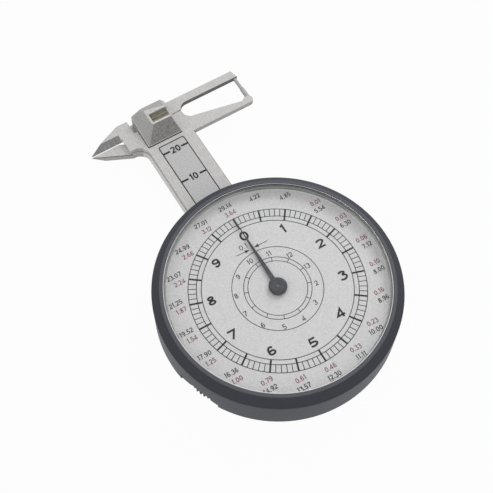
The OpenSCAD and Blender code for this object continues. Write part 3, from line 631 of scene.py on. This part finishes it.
def digit_strokes(weight):
    """Strokes of the digits, in units of their height: a list of point lists for each, and its width."""
    top = 1 - weight / 2
    low = weight / 2
    return {
        "0": ([arc((0.34, 0.5), 0.34 - low, 0.5 - low, 0, 360, ZERO_STEPS)], 0.68),
        "1": ([line((0.06, 0.78), (0.24, 0.93), (0.24, 0))], 0.38),
        "2": ([arc((0.29, 0.7), 0.25, 0.3 - low, 165, -38) + line((0.07, low), (0.58, low))], 0.6),
        "3": ([
            arc((0.28, 0.745), 0.23, top - 0.745, 155, -90),
            arc((0.28, 0.27), 0.28, 0.525 - 0.27, 90, -150),
        ], 0.6),
        "4": ([line((0.64, 0.27), (0.06, 0.27), (0.47, 0.94), (0.47, 0))], 0.66),
        "5": ([
            line((0.56, top), (0.14, top), (0.1, 0.55)) + arc((0.26, 0.32), 0.3, 0.32 - low, 122, -140),
        ], 0.6),
        "6": ([
            arc((0.32, 0.5), 0.32 - low, 0.5 - low, 42, 200, RING_STEPS),
            arc((0.32, 0.31), 0.32 - low, 0.31 - low, 0, 360, RING_STEPS),
        ], 0.64),
        "7": ([line((0.02, top), (0.58, top), (0.2, 0))], 0.6),
        "8": ([
            arc((0.32, 0.745), 0.28 - low, 0.255 - low, 0, 360, RING_STEPS),
            arc((0.32, 0.275), 0.32 - low, 0.275 - low, 0, 360, RING_STEPS),
        ], 0.64),
        "9": ([
            arc((0.32, 0.5), 0.32 - low, 0.5 - low, 222, 380, RING_STEPS),
            arc((0.32, 0.69), 0.32 - low, 0.31 - low, 0, 360, RING_STEPS),
        ], 0.64),
        ".": ([line((0.1, 0), (0.1, weight * 1.15))], 0.2),
    }


def number(bm, text, centre, place, height, weight, spacing, stretch=1, anchor=0.5):
    """Upright number, with stroke weight and spacing as shares of its height.

    The stretch widens its digits, and the anchor is the share of the number that is left of the centre."""
    strokes = digit_strokes(weight)
    widths = [strokes[letter][1] * stretch for letter in text]
    x = -(sum(widths) + spacing * (len(text) - 1)) * anchor
    for letter, width in zip(text, widths):
        for stroke in strokes[letter][0]:
            points = [Vector(centre) + Vector((x + p.x * stretch, p.y - 0.5)) * height for p in stroke]
            ring = (stroke[0] - stroke[-1]).length < CLOSED_GAP
            band(bm, points[:-1] if ring else points, weight * height, place, ring)
        x += width + spacing


def printed(name, body, ink, draw):
    """Piece of printed marks that the draw function adds to a mesh."""
    bm = bmesh.new()
    draw(bm)
    mesh = bpy.data.meshes.new(name)
    bm.to_mesh(mesh)
    bm.free()
    return add_piece(name, mesh, [ink], body)


def dial_place(point):
    """Point of the dial, turned with its zero, in the frame."""
    a = math.radians(-DIAL_TURN)
    x = point.x * math.cos(a) - point.y * math.sin(a)
    y = point.x * math.sin(a) + point.y * math.cos(a)
    return Vector((x, y, DIAL_Z + INK_LIFT)) * MM


def strip_place(point):
    """Point of the scale strip in the frame."""
    return Vector((point.x, point.y, PLATE_Z + INK_LIFT)) * MM


def clock(r, angle):
    """Point at a radius and a clockwise angle from the dial's zero."""
    a = math.radians(angle)
    return Vector((r * math.sin(a), r * math.cos(a)))


def circle(bm, r, width):
    """Line round the dial."""
    band(bm, [clock(r, -k * 360 / CIRCLE_STEPS) for k in range(CIRCLE_STEPS)], width, dial_place, True)


# Outer scale: one turn is 10 mm of stone, in bold steps of half a millimetre
SCALE_OUT = 22.04
SCALE_MID = 20.0
SCALE_IN = 18.79
SCALE_LINE = 0.2
STEP_LINE = 0.46
STEP_PAST = 0.06
TURN_SIZE = 10
TURN_STEPS = 20
STEP_SIZE = 0.5
STEP_ANGLE = 18
STEP_TICKS = 5

# Large numerals
NUMERAL_R = 16.5
NUMERAL_ANGLE = 36
NUMERAL_SHIFT = Vector((-0.12, 0))
NUMERAL_TYPE = {"height": 2.45, "weight": 0.21, "spacing": 0.1, "stretch": 1.4}
ZERO_TYPE = {"height": 2.65, "weight": 0.2, "spacing": 0.1, "stretch": 1.4}

# Value pairs, in carats of a stone, with shifts to the right and up of those off the even circle, by step
CARAT_FACTOR = 0.003643
FIRST_RED = 3
LAST_RED_ABOVE = 12
PAIR_R = 25.15
PAIR_RIGHT = 1.6
ROW_SHIFT = 1.1
PAIR_TYPE = {"height": 1.28, "weight": 0.17, "spacing": 0.13, "stretch": 0.9, "anchor": 1}
PAIR_SHIFTS = {
    1: (0, -0.2), 2: (0, -0.2), 3: (0.1, -0.14), 6: (0.25, 0.52), 7: (0.4, 0.48), 8: (0.15, 0.05),
    10: (0, 0.14), 13: (-0.35, 0.33), 14: (-0.1, 0.33), 15: (0.15, -0.2), 16: (0.2, -0.17),
    17: (-0.05, -0.48), 18: (-0.15, -0.45), 19: (0.1, -0.14), 20: (0.1, -0.17),
}

# Inner ring scale
INNER_CIRCLES = [11.3, 8.4, 7.35]
RING_LINE = 0.18
RING_SIZES = range(2, 14)
RING_ZERO = 50
RING_STEP = 30
RING_NUMBER_R = 10.0
RING_SHIFT = Vector((-0.55, -0.25))
RING_TYPE = {"height": 1.35, "weight": 0.15, "spacing": 0.12}

# Arrows on both sides of the hand, from start to tip
ARROWS = [((-4.5, 12.56), (-0.75, 12.4)), ((4.35, 12.45), (0.55, 12.48))]
ARROW_LINE = 0.18
ARROW_HEAD_L = 1.3
ARROW_HEAD_HALF = 0.46
ARROW_NUMBER_AT = (-1.75, 13.95)
ARROW_TYPE = {"height": 1.4, "weight": 0.13, "spacing": 0.14}


def draw_scale(bm):
    """Three circles, with a thin tick for each tenth of a millimetre and a bold one for each step."""
    for r in (SCALE_OUT, SCALE_MID, SCALE_IN):
        circle(bm, r, SCALE_LINE)
    for k in range(TURN_STEPS * STEP_TICKS):
        angle = k * STEP_ANGLE / STEP_TICKS
        if k % STEP_TICKS:
            band(bm, [clock(SCALE_MID, angle), clock(SCALE_OUT, angle)], SCALE_LINE, dial_place)
        else:
            band(bm, [clock(SCALE_IN, angle), clock(SCALE_OUT + STEP_PAST, angle)], STEP_LINE, dial_place)


def draw_numerals(bm):
    """Millimetres from 0 to 9."""
    number(bm, "0", clock(NUMERAL_R, 0), dial_place, **ZERO_TYPE)
    for k in range(1, TURN_SIZE):
        number(bm, str(k), clock(NUMERAL_R, NUMERAL_ANGLE * k) + NUMERAL_SHIFT, dial_place, **NUMERAL_TYPE)


def pair_rows(step):
    """Red and black values at a step of the scale, with their rows: 1 above, -1 below."""
    size = step * STEP_SIZE
    red = f"{CARAT_FACTOR * size ** 3:.2f}" if step >= FIRST_RED else None
    black = f"{CARAT_FACTOR * (size + TURN_SIZE) ** 3:.2f}"
    red_row = 1 if step <= LAST_RED_ABOVE else -1
    black_row = -red_row if red else 1
    return red, red_row, black, black_row


def draw_pairs(bm, want_red):
    """Red values of the first turn, or black values of the second."""
    for step in range(1, TURN_STEPS + 1):
        red, red_row, black, black_row = pair_rows(step)
        text, row = (red, red_row) if want_red else (black, black_row)
        if text:
            shift = Vector(PAIR_SHIFTS.get(step, (0, 0))) + Vector((PAIR_RIGHT, row * ROW_SHIFT))
            number(bm, text, clock(PAIR_R, STEP_ANGLE * step) + shift, dial_place, **PAIR_TYPE)


def draw_ring_scale(bm):
    """Three circles, with a tick and a number for each ring size."""
    for r in INNER_CIRCLES:
        circle(bm, r, RING_LINE)
    for size in RING_SIZES:
        angle = RING_ZERO + RING_STEP * size
        band(bm, [clock(INNER_CIRCLES[2], angle), clock(INNER_CIRCLES[1], angle)], RING_LINE, dial_place)
        number(bm, str(size), clock(RING_NUMBER_R, angle) + RING_SHIFT, dial_place, **RING_TYPE)


def draw_arrows(bm):
    """Two arrows with their number, the value of one tick."""
    for start, tip in ARROWS:
        start = Vector(start)
        tip = Vector(tip)
        along = (tip - start).normalized()
        across = Vector((-along.y, along.x))
        foot = tip - along * ARROW_HEAD_L
        band(bm, [start, foot], ARROW_LINE, dial_place)
        corners = [tip, foot + across * ARROW_HEAD_HALF, foot - across * ARROW_HEAD_HALF]
        bm.faces.new([bm.verts.new(dial_place(corner)) for corner in corners])
    number(bm, "0.1", ARROW_NUMBER_AT, dial_place, **ARROW_TYPE)


printed("dial_scale", "case", BLACK_INK, draw_scale)
printed("dial_numerals", "case", BLACK_INK, draw_numerals)
printed("dial_black_numbers", "case", GREY_INK, lambda bm: draw_pairs(bm, want_red=False))
printed("dial_red_numbers", "case", RED_INK, lambda bm: draw_pairs(bm, want_red=True))
printed("dial_ring_scale", "case", BLACK_INK, draw_ring_scale)
printed("dial_arrows", "case", BLACK_INK, draw_arrows)

# Scale strip print
BORDER_INSET = 0.12
BORDER_R = 0.5
BORDER_STEPS = 6
BORDER_LINE = 0.26
STRIP_MARKS = (10, 20)
DASH_L = 2.1
DASH_LINE = 0.55
MARK_TYPE = {"height": 2.05, "weight": 0.19, "spacing": 0.1, "stretch": 0.94}


def draw_strip(bm):
    """Border of the strip, and its marks with their numbers."""
    half = STRIP_HIGH.x - BORDER_INSET
    end = STRIP_HIGH.y - BORDER_INSET
    border = line((-half, STRIP_LOW.y))
    border += arc((-half + BORDER_R, end - BORDER_R), BORDER_R, BORDER_R, 180, 90, BORDER_STEPS)
    border += arc((half - BORDER_R, end - BORDER_R), BORDER_R, BORDER_R, 90, 0, BORDER_STEPS)
    border += line((half, STRIP_LOW.y))
    band(bm, border, BORDER_LINE, strip_place)
    for value in STRIP_MARKS:
        y = READING_Y + value
        for side in (-1, 1):
            band(bm, line((side * half, y), (side * (half - DASH_L), y)), DASH_LINE, strip_place)
        number(bm, str(value), (0, y), strip_place, **MARK_TYPE)


printed("strip_print", "slider", BLACK_INK, draw_strip)

# Floor, light and camera
WHITE = (1, 1, 1, 1)
FLOOR_Z = -0.05
FLOOR_HALF = 600
FLOOR_WHITE = 0.97
FLOOR_LOOK = {"Base Color": (0.4, 0.4, 0.4, 1), "Roughness": 0.9}
HORIZON_LIGHT = 0.3
SKY_RISE = Vector((-0.08, 0.05, 0.9))
ZENITH_FADE = {"From Min": 0.5, "From Max": 0.9, "To Min": 1, "To Max": 0.3}
KEY_AT = (531, 306, 514)
KEY_SIZE = 300
KEY_POWER = 1.4
CAMERA_AT = Vector((-60.76, -81.86, 236.19))
CAMERA_RIGHT = Vector((0.85445, -0.51947, 0.00759))
CAMERA_UP = Vector((0.46092, 0.76472, 0.45029))
CAMERA_BACK = Vector((-0.23972, -0.38125, 0.89285))
CAMERA_LENS = 73.02
CAMERA_SENSOR = 36
CAMERA_CLIP = 10


def seen_rays(tree):
    """Factor that is 1 for the rays that look at the background: camera, glossy and transmission rays."""
    path = tree.nodes.new("ShaderNodeLightPath")
    direct = greater(tree, path.outputs["Is Camera Ray"], path.outputs["Is Glossy Ray"])
    return greater(tree, direct, path.outputs["Is Transmission Ray"])


def floor_material():
    """Grey to the light, and nearly white where it is looked at, so that a soft shadow stays."""
    made = material("floor", FLOOR_LOOK)
    tree = made.node_tree
    white = tree.nodes.new("ShaderNodeEmission")
    share = tree.nodes.new("ShaderNodeMath")
    share.operation = "MULTIPLY"
    share.inputs[1].default_value = FLOOR_WHITE
    tree.links.new(seen_rays(tree), share.inputs[0])
    mixed(
        tree, share.outputs["Value"], shader_of(made).outputs["BSDF"], white.outputs["Emission"],
        "Material Output")
    return made


def make_floor():
    """Flat floor under the object."""
    half = FLOOR_HALF * MM
    z = FLOOR_Z * MM
    corners = [(-half, -half, z), (half, -half, z), (half, half, z), (-half, half, z)]
    mesh = bpy.data.meshes.new("floor")
    mesh.from_pydata(corners, [], [(0, 1, 2, 3)])
    mesh.materials.append(floor_material())
    floor = bpy.data.objects.new("floor", mesh)
    bpy.context.scene.collection.objects.link(floor)


def sky_light(tree, direction):
    """White light that grows from the horizon to the top, and a little to the left and the back."""
    light = tree.nodes["Background"]
    set_inputs(light, {"Color": WHITE})
    rise = tree.nodes.new("ShaderNodeVectorMath")
    rise.operation = "DOT_PRODUCT"
    rise.inputs[1].default_value = SKY_RISE
    level = tree.nodes.new("ShaderNodeMath")
    level.operation = "ADD"
    level.use_clamp = True
    level.inputs[1].default_value = HORIZON_LIGHT
    tree.links.new(direction, rise.inputs[0])
    tree.links.new(rise.outputs["Value"], level.inputs[0])
    tree.links.new(level.outputs["Value"], light.inputs["Strength"])
    return light.outputs["Background"]


def backdrop(tree, direction):
    """White backdrop, darker overhead as in a room."""
    back = tree.nodes.new("ShaderNodeBackground")
    set_inputs(back, {"Color": WHITE})
    split = tree.nodes.new("ShaderNodeSeparateXYZ")
    fade = tree.nodes.new("ShaderNodeMapRange")
    set_inputs(fade, ZENITH_FADE)
    tree.links.new(direction, split.inputs["Vector"])
    tree.links.new(split.outputs["Z"], fade.inputs["Value"])
    tree.links.new(fade.outputs["Result"], back.inputs["Strength"])
    return back.outputs["Background"]


def make_world():
    """World that lights the object as a room does, and is a white backdrop where it is looked at."""
    world = bpy.data.worlds.new("studio")
    world.use_nodes = True
    tree = world.node_tree
    direction = tree.nodes.new("ShaderNodeTexCoord").outputs["Generated"]
    mixed(tree, seen_rays(tree), sky_light(tree, direction), backdrop(tree, direction), "World Output")
    bpy.context.scene.world = world


def make_key():
    """Soft lamp above, behind the object and to the right."""
    data = bpy.data.lights.new("key", "AREA")
    data.size = KEY_SIZE * MM
    data.energy = KEY_POWER
    lamp = bpy.data.objects.new("key", data)
    lamp.location = Vector(KEY_AT) * MM
    lamp.rotation_euler = (-lamp.location).to_track_quat("-Z", "Y").to_euler()
    bpy.context.scene.collection.objects.link(lamp)


def make_camera():
    """Camera at the photograph's place."""
    data = bpy.data.cameras.new("camera")
    data.lens = CAMERA_LENS
    data.sensor_width = CAMERA_SENSOR
    data.clip_start = CAMERA_CLIP * MM
    camera = bpy.data.objects.new("camera", data)
    placed = Matrix((CAMERA_RIGHT, CAMERA_UP, CAMERA_BACK)).transposed().to_4x4()
    placed.translation = CAMERA_AT * MM
    camera.matrix_world = placed
    bpy.context.scene.collection.objects.link(camera)
    bpy.context.scene.camera = camera


make_floor()
make_world()
make_key()
make_camera()
bpy.context.scene.view_settings.view_transform = "Standard"
